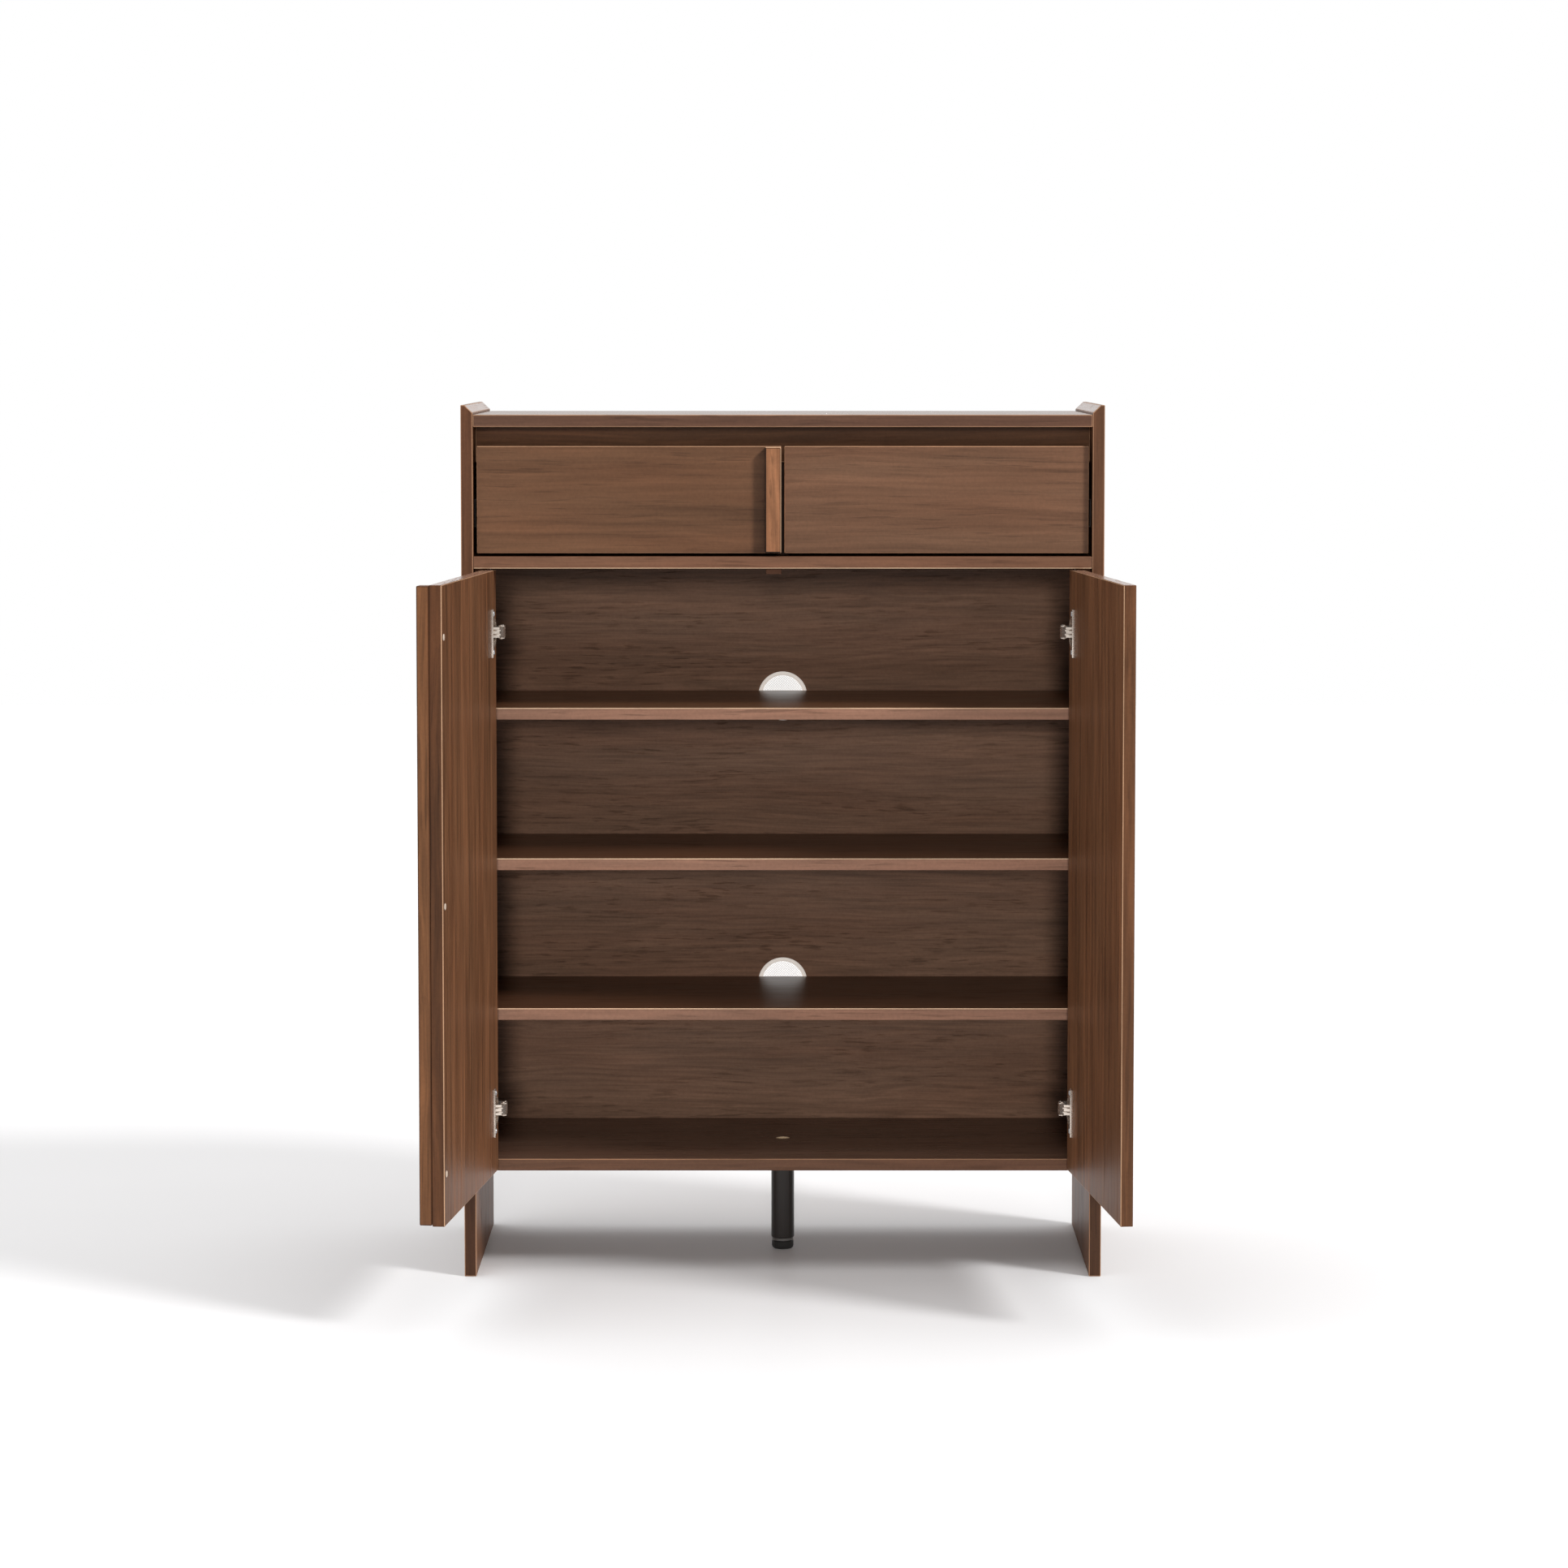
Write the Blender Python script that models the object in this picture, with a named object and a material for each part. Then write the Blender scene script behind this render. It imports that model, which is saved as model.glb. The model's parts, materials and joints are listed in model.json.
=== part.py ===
"""Shoe cabinet: two drawers over a pair of doors, with three shelves behind the doors.

Metres, +Z up. The front faces -Y and the width runs along X. The origin is on the floor, at the
centre of the middle leg's foot. The doors stand open, which is the rest pose, and the drawers are in.
Distances called setbacks are measured back from the front plane, where the side panels begin.
"""

import math

import bmesh
import bpy
from mathutils import Vector

X, Y, Z = 0, 1, 2

# Driving dimensions of the carcass.
WIDTH = 0.800
DEPTH = 0.345
HEIGHT = 1.094
BOARD = 0.015
BACK_BOARD = 0.0055
ARRIS = 0.0010
TOUCH = 0.0003
LEG_SETBACK = 0.185
BOTTOM_HEIGHT = 0.129
BOTTOM_SETBACK = 0.030
SHELF_PITCH = 0.190
SHELF_SETBACK = 0.040
SHELF_BACK_GAP = 0.003
MIDDLE_HEIGHT = 0.891
TOP_DROP = 0.012
CREST_FLAT = 0.005
CREST_FALL = 0.0095
RAIL_SETBACK = 0.050
RAIL_HEIGHT = 0.045
PARTITION_SETBACK = 0.026

# Doors and drawers.
SIDE_GAP = 0.0025
CENTRE_GAP = 0.004
DOOR_TOP_GAP = 0.002
DOOR_BOTTOM = 0.132
OPEN_ANGLE = math.radians(96)
DRAWER_SETBACK = 0.008
DRAWER_SIDE_GAP = 0.0042
DRAWER_BOTTOM_GAP = 0.0036
FINGER_GAP = 0.024
HANDLE_WIDTH = 0.020
HANDLE_DEPTH = 0.015
DRAWER_HANDLE_DEPTH = 0.011
HANDLE_EASE = 0.0015
HANDLE_END_GAP = 0.001
HANDLE_SCREW_INSET = 0.0615

# Drawer boxes and their runners.
BOX_WALL = 0.012
BOX_LIFT = 0.0095
BOX_HEIGHT = 0.094
BOX_LENGTH = 0.310
BOX_FLOOR = 0.005
GROOVE_LIFT = 0.010
GROOVE_DEPTH = 0.006
GROOVE_SLACK = 0.0005
RUNNER_SPACE = 0.0127
RUNNER_SETBACK = 0.028
RUNNER_LENGTH = 0.300
RUNNER_LIFT = 0.040
RUNNER_SKIN = 0.0012
RUNNER_OUTER_DEPTH = 0.010
RUNNER_OUTER_LIP = 0.005
RUNNER_OUTER_HALF = 0.0175
RUNNER_INNER_NEAR = 0.004
RUNNER_INNER_HALF = 0.010

# Concealed hinges. The pivot and the arm are measured from the side panel's inner face and from the
# front plane, with the door closed.
HINGE_INSET = 0.078
PIVOT = (0.0170, 0.0066)
PIN_RADIUS = 0.0012
PIN_HALF = 0.0145
RUNNING_GAP = 0.0003
CUP_EDGE = 0.0225
CUP_RADIUS = 0.0172
CUP_MOUTH = 0.0158
CUP_RIM = 0.0190
CUP_DEPTH = 0.0117
CUP_FLOOR = 0.0008
FLANGE = 0.0012
EAR_OFFSET = 0.006
EAR_HALF_WIDTH = 0.007
EAR_REACH = 0.030
ARM_PATH = (
    PIVOT,
    (0.031, 0.0085),
    (0.035, 0.015),
    (0.0365, 0.027),
    (0.031, 0.036),
    (0.014, 0.040),
    (0.014, 0.098),
)
ARM_THICKNESS = 0.003
ARM_HALF_HEIGHT = 0.0065
EYE_RADIUS = 0.0022
PLATE_SPAN = (0.044, 0.094)
PLATE_HALF_HEIGHT = 0.006
WING_SPAN = (0.050, 0.068)
WING_HALF_HEIGHT = 0.025
WING_PROUD = 0.0028

# Round fittings.
LEG_RADIUS = 0.01475
LEG_WALL = 0.0015
LEG_CAP = 0.006
STUD_RADIUS = 0.0039
STUD_HOLE = 0.0042
GLIDE_HEIGHT = 0.011
GLIDE_GAP = 0.0037
COLLAR_RADIUS = 0.0137
TUBE_CURL = 0.0015
GLIDE_RADIUS = 0.0140
GLIDE_CURL = 0.004
GLIDE_SOCKET = 0.004
STUD_REACH = 0.010
BOLT_HEAD_RADIUS = 0.0080
BOLT_HEAD = 0.0038
BOLT_REACH = 0.006
COUNTERBORE_RADIUS = 0.0090
COUNTERBORE_DEPTH = 0.0080
VENT_RADIUS = 0.0323
VENT_HOLE = 0.0290
VENT_MOUTH = 0.0270
VENT_PROUD = 0.0018
VENT_WEB = (0.0010, 0.0018)
VENT_COLLAR_SHY = 0.0005
SCREW_HEAD_RADIUS = 0.004
SCREW_HEAD_EDGE = 0.0006
SCREW_HEAD_RISE = 0.0010
SCREW_HEAD_CURL = 0.0005
SCREW_RADIUS = 0.0022
SCREW_HOLE = 0.0025
SCREW_BITE = 0.010
STOP_ACROSS = (-0.0210, -0.0015)
STOP_DEEP = (0.0006, 0.0206)
STOP_DROP = 0.0078
CUT_THROUGH = 0.001
OVERLAP = 0.0001
ROUND_STEPS = 32
SMALL_STEPS = 16

# Places worked out from the driving dimensions.
FRONT = -LEG_SETBACK
BACK = FRONT + DEPTH
BACK_INNER = BACK - BACK_BOARD
INNER = WIDTH / 2 - BOARD
BOTTOM_TOP = BOTTOM_HEIGHT + BOARD
MIDDLE_TOP = MIDDLE_HEIGHT + BOARD
TOP_TOP = HEIGHT - TOP_DROP
TOP_UNDER = TOP_TOP - BOARD
DOOR_TOP = MIDDLE_HEIGHT - DOOR_TOP_GAP
DOOR_INNER = FRONT + BOARD
DRAWER_BOTTOM = MIDDLE_TOP + DRAWER_BOTTOM_GAP
DRAWER_TOP = TOP_UNDER - FINGER_GAP
DRAWER_FACE = FRONT + DRAWER_SETBACK
DRAWER_INNER = DRAWER_FACE + BOARD
BOX_BOTTOM = DRAWER_BOTTOM + BOX_LIFT
FLOOR_BOTTOM = BOX_BOTTOM + GROOVE_LIFT
SHELF_TOPS = {
    "lower": BOTTOM_TOP + SHELF_PITCH,
    "middle": BOTTOM_TOP + 2 * SHELF_PITCH,
    "upper": BOTTOM_TOP + 3 * SHELF_PITCH,
}
HINGE_HEIGHTS = {"upper": DOOR_TOP - HINGE_INSET, "lower": DOOR_BOTTOM + HINGE_INSET}
SIDES = {"left": -1, "right": 1}


def material(name, colour, roughness, metallic=0.0):
    made = bpy.data.materials.new(name)
    made.use_nodes = True
    shader = made.node_tree.nodes["Principled BSDF"]
    shader.inputs["Base Color"].default_value = (*colour, 1.0)
    shader.inputs["Roughness"].default_value = roughness
    shader.inputs["Metallic"].default_value = metallic
    made.diffuse_color = (*colour, 1.0)
    return made


def empty(name, location):
    made = bpy.data.objects.new(name, None)
    made.empty_display_size = 0.03
    made.location = location
    bpy.context.scene.collection.objects.link(made)
    return made


def finished(name, bm, finish, pivot=None):
    """Makes the mesh an object, with its origin at the middle of its own box and its faces out."""
    bmesh.ops.recalc_face_normals(bm, faces=bm.faces[:])
    low = Vector([min(vert.co[i] for vert in bm.verts) for i in range(3)])
    high = Vector([max(vert.co[i] for vert in bm.verts) for i in range(3)])
    centre = (low + high) / 2
    bmesh.ops.translate(bm, verts=bm.verts[:], vec=-centre)
    mesh = bpy.data.meshes.new(name)
    bm.to_mesh(mesh)
    bm.free()
    mesh.materials.append(finish)
    mesh.shade_smooth()
    mesh.set_sharp_from_angle(angle=math.radians(35))
    made = bpy.data.objects.new(name, mesh)
    bpy.context.scene.collection.objects.link(made)
    made.parent = pivot
    made.location = centre - (pivot.location if pivot else Vector())
    return made


def eased(piece, width, segments=2):
    """Rounds the piece's sharp edges a little."""
    bevel = piece.modifiers.new("eased edges", "BEVEL")
    bevel.width = width
    bevel.segments = segments
    bevel.limit_method = "ANGLE"
    bevel.angle_limit = math.radians(30)
    return piece


def block(name, x_span, y_span, z_span, finish, pivot=None):
    bm = bmesh.new()
    bmesh.ops.create_cube(bm, size=1.0)
    spans = (x_span, y_span, z_span)
    bmesh.ops.scale(bm, verts=bm.verts[:], vec=[high - low for low, high in spans])
    bmesh.ops.translate(bm, verts=bm.verts[:], vec=[(low + high) / 2 for low, high in spans])
    return finished(name, bm, finish, pivot)


def board(name, x_span, y_span, z_span, finish, pivot=None):
    return eased(block(name, x_span, y_span, z_span, finish, pivot), ARRIS)


def prism(name, outline, axis, span, finish, pivot=None):
    """A closed outline pushed along one axis. Its points hold the other two coordinates, in X, Y, Z order."""
    bm = bmesh.new()
    start, end = span
    corners = []
    for point in outline:
        place = list(point)
        place.insert(axis, start)
        corners.append(bm.verts.new(place))
    face = bm.faces.new(corners)
    pushed = bmesh.ops.extrude_face_region(bm, geom=[face])
    step = Vector((0, 0, 0))
    step[axis] = end - start
    moved = [item for item in pushed["geom"] if isinstance(item, bmesh.types.BMVert)]
    bmesh.ops.translate(bm, verts=moved, vec=step)
    return finished(name, bm, finish, pivot)


def circle(centre, radius, steps=ROUND_STEPS):
    turns = [2 * math.pi * step / steps for step in range(steps)]
    return [(centre[0] + radius * math.cos(turn), centre[1] + radius * math.sin(turn)) for turn in turns]


def turned(name, profile, axis, centre, finish, pivot=None, ring=False, steps=ROUND_STEPS):
    """Turns a profile of (radius, place along the axis) about an axis through centre, given in X, Y, Z order.

    A profile that starts and ends on the axis closes by itself, and a ring's last point joins its first.
    """
    bm = bmesh.new()
    verts = []
    for radius, along in profile:
        place = Vector((0, 0, 0))
        place[axis] = along
        place[(axis + 1) % 3] = radius
        verts.append(bm.verts.new(place))
    ends = verts[1:] + verts[:1] if ring else verts[1:]
    edges = [bm.edges.new(pair) for pair in zip(verts, ends)]
    about = Vector((0, 0, 0))
    about[axis] = 1
    bmesh.ops.spin(bm, geom=verts + edges, cent=(0, 0, 0), axis=about, angle=2 * math.pi, steps=steps)
    bmesh.ops.remove_doubles(bm, verts=bm.verts[:], dist=1e-6)
    offset = list(centre)
    offset.insert(axis, 0)
    bmesh.ops.translate(bm, verts=bm.verts[:], vec=offset)
    return finished(name, bm, finish, pivot)


def joined(piece, tool, operation):
    """Adds or takes away a helper shape, which itself isn't part of the cabinet."""
    tool.hide_render = True
    tool.display_type = "WIRE"
    boolean = piece.modifiers.new(tool.name, "BOOLEAN")
    boolean.operation = operation
    boolean.solver = "EXACT"
    boolean.object = tool


def bored(piece, name, axis, centre, radius, span, pivot=None, steps=SMALL_STEPS):
    tool = prism(name, circle(centre, radius, steps), axis, span, piece.data.materials[0], pivot)
    joined(piece, tool, "DIFFERENCE")


def inward(side, distance):
    """X at a distance in from a side panel's inner face."""
    return SIDES[side] * (INNER - distance)


def span(first, second):
    return (min(first, second), max(first, second))


def make_sides(walnut):
    """The floor-standing side panels. Each crest slopes down to the inner face."""
    outer = WIDTH / 2
    outline = [
        (outer, 0),
        (outer, HEIGHT),
        (outer - CREST_FLAT, HEIGHT),
        (INNER, HEIGHT - CREST_FALL),
        (INNER, 0),
    ]
    for side, sign in SIDES.items():
        mirrored = [(sign * x, z) for x, z in outline]
        eased(prism(f"side_panel_{side}", mirrored, Y, (FRONT, BACK), walnut), ARRIS)


def make_carcass(walnut):
    across = (-INNER + TOUCH, INNER - TOUCH)
    to_back = BACK_INNER - TOUCH
    board("top_panel", across, (FRONT, BACK), (TOP_UNDER, TOP_TOP), walnut)
    board("middle_panel", across, (FRONT, to_back), (MIDDLE_HEIGHT, MIDDLE_TOP), walnut)
    set_back = (FRONT + BOTTOM_SETBACK, to_back)
    bottom = board("bottom_panel", across, set_back, (BOTTOM_HEIGHT, BOTTOM_TOP), walnut)
    counterbore = (BOTTOM_TOP - COUNTERBORE_DEPTH, BOTTOM_TOP + BOARD)
    bored(bottom, "leg_bolt_counterbore", Z, (0, 0), COUNTERBORE_RADIUS, counterbore, None, ROUND_STEPS)
    bored(bottom, "leg_bolt_hole", Z, (0, 0), STUD_HOLE, (BOTTOM_HEIGHT - BOARD, BOTTOM_TOP + BOARD))
    back_span = (BOTTOM_HEIGHT, TOP_UNDER - TOUCH)
    back = board("back_panel", across, (BACK_INNER, BACK), back_span, walnut)
    for level, top in SHELF_TOPS.items():
        depth_span = (FRONT + SHELF_SETBACK, BACK_INNER - SHELF_BACK_GAP)
        board(f"shelf_{level}", across, depth_span, (top - BOARD, top), walnut)
        if level != "middle":
            through = (BACK_INNER - BOARD, BACK + BOARD)
            centre = (0, top - BOARD / 2)
            bored(back, f"vent_hole_{level}", Y, centre, VENT_HOLE, through, None, ROUND_STEPS)


def make_drawer_frame(walnut):
    """The rail behind the finger gap, and the upright between the drawers, notched round the rail."""
    rail = (FRONT + RAIL_SETBACK, FRONT + RAIL_SETBACK + BOARD)
    rail_bottom = TOP_UNDER - RAIL_HEIGHT
    across = (-INNER + TOUCH, INNER - TOUCH)
    board("drawer_rail", across, rail, (rail_bottom, TOP_UNDER - TOUCH), walnut)
    low, high = MIDDLE_TOP + TOUCH, TOP_UNDER - TOUCH
    outline = [
        (FRONT + PARTITION_SETBACK, low),
        (BACK_INNER - TOUCH, low),
        (BACK_INNER - TOUCH, high),
        (rail[1] + TOUCH, high),
        (rail[1] + TOUCH, rail_bottom - TOUCH),
        (FRONT + PARTITION_SETBACK, rail_bottom - TOUCH),
    ]
    eased(prism("drawer_partition", outline, X, (-BOARD / 2, BOARD / 2), walnut), ARRIS)


def quarter_turn(centre, radius, start):
    """Points along a quarter circle of a profile, counter-clockwise from the start angle in degrees."""
    turns = [math.radians(start + 30 * step) for step in range(4)]
    return [(centre[0] + radius * math.cos(turn), centre[1] + radius * math.sin(turn)) for turn in turns]


def make_leg(black, steel, rubber):
    """The middle leg: a capped tube bolted up to the bottom panel, with a screw-in glide below."""
    foot = GLIDE_HEIGHT + GLIDE_GAP
    head = BOTTOM_HEIGHT - TOUCH
    tube = quarter_turn((LEG_RADIUS - TUBE_CURL, foot + TUBE_CURL), TUBE_CURL, -90)
    tube += [
        (LEG_RADIUS, head),
        (STUD_HOLE, head),
        (STUD_HOLE, head - LEG_CAP),
        (LEG_RADIUS - LEG_WALL, head - LEG_CAP),
        (LEG_RADIUS - LEG_WALL, foot + LEG_CAP),
        (STUD_HOLE, foot + LEG_CAP),
        (STUD_HOLE, foot),
    ]
    turned("leg_tube", tube, Z, (0, 0), black, ring=True)
    glide = [(0, 0)]
    glide += quarter_turn((GLIDE_RADIUS - GLIDE_CURL, GLIDE_CURL), GLIDE_CURL, -90)
    glide += [
        (GLIDE_RADIUS, GLIDE_HEIGHT - ARRIS),
        (GLIDE_RADIUS - ARRIS, GLIDE_HEIGHT),
        (STUD_HOLE, GLIDE_HEIGHT),
        (STUD_HOLE, GLIDE_SOCKET),
        (0, GLIDE_SOCKET),
    ]
    turned("leg_glide", glide, Z, (0, 0), rubber)
    low, high = GLIDE_SOCKET + TOUCH, foot + LEG_CAP + STUD_REACH
    collar_low, collar_high = GLIDE_HEIGHT + TOUCH, foot - TOUCH
    stud = [
        (0, low),
        (STUD_RADIUS, low),
        (STUD_RADIUS, collar_low),
        (COLLAR_RADIUS, collar_low),
        (COLLAR_RADIUS, collar_high),
        (STUD_RADIUS, collar_high),
        (STUD_RADIUS, high),
        (0, high),
    ]
    turned("leg_stud", stud, Z, (0, 0), steel)
    seat = BOTTOM_TOP - COUNTERBORE_DEPTH + TOUCH
    tip = head - LEG_CAP - BOLT_REACH
    bolt = [
        (0, tip),
        (STUD_RADIUS, tip),
        (STUD_RADIUS, seat),
        (BOLT_HEAD_RADIUS, seat),
        (BOLT_HEAD_RADIUS, seat + BOLT_HEAD - ARRIS),
        (BOLT_HEAD_RADIUS - ARRIS, seat + BOLT_HEAD),
        (0, seat + BOLT_HEAD),
    ]
    turned("leg_bolt", bolt, Z, (0, 0), steel)


def make_vents(cream):
    """Round vents in the back: a flange on the inner face, a collar through the hole and a web across it."""
    face = BACK_INNER - TOUCH
    web = [BACK_INNER + reach for reach in VENT_WEB]
    collar_end = BACK - VENT_COLLAR_SHY
    for level in ("upper", "lower"):
        profile = [
            (0, web[0]),
            (VENT_MOUTH, web[0]),
            (VENT_MOUTH, face - VENT_PROUD),
            (VENT_RADIUS - ARRIS, face - VENT_PROUD),
            (VENT_RADIUS, face - VENT_PROUD + ARRIS),
            (VENT_RADIUS, face),
            (VENT_HOLE - TOUCH, face),
            (VENT_HOLE - TOUCH, collar_end),
            (VENT_MOUTH, collar_end),
            (VENT_MOUTH, web[1]),
            (0, web[1]),
        ]
        height = SHELF_TOPS[level] - BOARD / 2
        turned_about_y(f"vent_{level}", profile, 0, height, cream)


def turned_about_y(name, profile, x, z, finish, pivot=None, steps=ROUND_STEPS):
    return turned(name, profile, Y, (x, z), finish, pivot, steps=steps)


def make_door(side, finishes):
    """A door with its hinge cups, modelled closed on a pivot which then swings it open."""
    walnut, nickel = finishes
    sign = SIDES[side]
    pivot = empty(f"door_{side}_pivot", (inward(side, PIVOT[0]), FRONT + PIVOT[1], 0))
    x_span = span(inward(side, SIDE_GAP), sign * CENTRE_GAP / 2)
    door = board(f"door_{side}", x_span, (FRONT, DOOR_INNER), (DOOR_BOTTOM, DOOR_TOP), walnut, pivot)
    cup_x = inward(side, SIDE_GAP + CUP_EDGE)
    for level, height in HINGE_HEIGHTS.items():
        bore = (DOOR_INNER - CUP_DEPTH - TOUCH, DOOR_INNER + BOARD)
        name = f"cup_bore_{side}_{level}"
        bored(door, name, Y, (cup_x, height), CUP_RADIUS + TOUCH, bore, pivot, ROUND_STEPS)
        make_hinge_cup(f"hinge_cup_{side}_{level}", side, cup_x, height, nickel, pivot)
    return door, pivot


def make_hinge_cup(name, side, x, z, nickel, pivot):
    """A hinge cup with a rim and two screw ears on the door's inner face, bored for the hinge pin."""
    floor = DOOR_INNER - CUP_DEPTH
    face = DOOR_INNER + TOUCH
    profile = [
        (0, floor),
        (CUP_RADIUS, floor),
        (CUP_RADIUS, face),
        (CUP_RIM, face),
        (CUP_RIM, face + FLANGE),
        (CUP_MOUTH, face + FLANGE),
        (CUP_MOUTH, floor + CUP_FLOOR),
        (0, floor + CUP_FLOOR),
    ]
    cup = turned_about_y(name, profile, x, z, nickel, pivot)
    ear_x = x - SIDES[side] * EAR_OFFSET
    for place, turn in (("top", 1), ("bottom", -1)):
        inner = CUP_MOUTH + OVERLAP
        centre = (ear_x, z + turn * (EAR_REACH - EAR_HALF_WIDTH))
        outline = []
        for step in range(9):
            angle = math.pi * step / 8
            reach = EAR_HALF_WIDTH * math.sin(angle)
            outline.append((centre[0] + EAR_HALF_WIDTH * math.cos(angle), centre[1] + turn * reach))
        outline += [(ear_x - EAR_HALF_WIDTH, z + turn * inner), (ear_x + EAR_HALF_WIDTH, z + turn * inner)]
        ear = prism(f"{name}_{place}_ear", outline, Y, (face, face + FLANGE), nickel, pivot)
        joined(cup, ear, "UNION")
    hole = (inward(side, PIVOT[0]), FRONT + PIVOT[1])
    reach = (z - 2 * PIN_HALF, z + 2 * PIN_HALF)
    bored(cup, f"{name}_pin_hole", Z, hole, PIN_RADIUS + RUNNING_GAP, reach, pivot, SMALL_STEPS)


def strip_outline(path, thickness):
    """The outline of a bent strip of even thickness, mitred at each bend."""
    points = [Vector(point) for point in path]
    left, right = [], []
    for index, point in enumerate(points):
        before = (point - points[index - 1]).normalized() if index else None
        after = (points[index + 1] - point).normalized() if index + 1 < len(points) else None
        first = before or after
        second = after or before
        normals = [Vector((-way.y, way.x)) for way in (first, second)]
        mitre = (normals[0] + normals[1]).normalized()
        reach = thickness / 2 / mitre.dot(normals[0])
        left.append(point + mitre * reach)
        right.append(point - mitre * reach)
    return left + right[::-1]


def make_hinge_arm(side, level, nickel):
    """The cabinet half of a hinge: the cranked arm, its mounting plate and the pin in the cup."""
    height = HINGE_HEIGHTS[level]
    tall = (height - ARM_HALF_HEIGHT, height + ARM_HALF_HEIGHT)
    outline = [(inward(side, point.x), FRONT + point.y) for point in strip_outline(ARM_PATH, ARM_THICKNESS)]
    name = f"hinge_arm_{side}_{level}"
    arm = prism(name, outline, Z, tall, nickel)
    axis = (inward(side, PIVOT[0]), FRONT + PIVOT[1])
    joined(arm, prism(f"{name}_eye", circle(axis, EYE_RADIUS, SMALL_STEPS), Z, tall, nickel), "UNION")
    beyond = (tall[0] - CUT_THROUGH, tall[1] + CUT_THROUGH)
    bored(arm, f"{name}_bore", Z, axis, PIN_RADIUS + RUNNING_GAP, beyond)
    pin = (height - PIN_HALF, height + PIN_HALF)
    prism(f"hinge_pin_{side}_{level}", circle(axis, PIN_RADIUS, SMALL_STEPS), Z, pin, nickel)
    arm_inner = ARM_PATH[-1][0] - ARM_THICKNESS / 2
    rail_x = span(inward(side, TOUCH), inward(side, arm_inner - TOUCH))
    rail_y = [FRONT + reach for reach in PLATE_SPAN]
    rail_z = (height - PLATE_HALF_HEIGHT, height + PLATE_HALF_HEIGHT)
    plate = block(f"hinge_plate_{side}_{level}", rail_x, rail_y, rail_z, nickel)
    wing_x = span(inward(side, TOUCH), inward(side, WING_PROUD))
    wing_y = [FRONT + reach for reach in WING_SPAN]
    wing_z = (height - WING_HALF_HEIGHT, height + WING_HALF_HEIGHT)
    wings = block(f"{plate.name}_wings", wing_x, wing_y, wing_z, nickel)
    joined(plate, wings, "UNION")


def make_handle(name, front_span, face, depth, walnut, pivot):
    """A bar up the whole front face, flush with the free edge of a left-hand door or drawer front."""
    right = -CENTRE_GAP / 2
    z_span = (front_span[0] + HANDLE_END_GAP, front_span[1] - HANDLE_END_GAP)
    x_span = (right - HANDLE_WIDTH, right)
    y_span = (face - TOUCH - depth, face - TOUCH)
    return eased(block(name, x_span, y_span, z_span, walnut, pivot), HANDLE_EASE, 3)


def make_door_handle(door, walnut, cream, pivot):
    handle = make_handle("door_handle", (DOOR_BOTTOM, DOOR_TOP), FRONT, HANDLE_DEPTH, walnut, pivot)
    x = -CENTRE_GAP / 2 - HANDLE_WIDTH / 2
    heights = {
        "top": DOOR_TOP - HANDLE_SCREW_INSET,
        "middle": (DOOR_BOTTOM + DOOR_TOP) / 2,
        "bottom": DOOR_BOTTOM + HANDLE_SCREW_INSET,
    }
    for place, z in heights.items():
        tip = FRONT - TOUCH - SCREW_BITE
        seat = DOOR_INNER + TOUCH
        for piece in (door, handle):
            hole = (tip - TOUCH, DOOR_INNER + BOARD)
            bored(piece, f"{piece.name}_{place}_screw_hole", Y, (x, z), SCREW_HOLE, hole, pivot)
        profile = [
            (0, tip),
            (SCREW_RADIUS, tip),
            (SCREW_RADIUS, seat),
            (SCREW_HEAD_RADIUS, seat),
            (SCREW_HEAD_RADIUS, seat + SCREW_HEAD_EDGE),
            (SCREW_HEAD_RADIUS - SCREW_HEAD_CURL, seat + SCREW_HEAD_RISE),
            (0, seat + SCREW_HEAD_RISE),
        ]
        turned_about_y(f"handle_screw_{place}", profile, x, z, cream, pivot, SMALL_STEPS)


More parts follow.
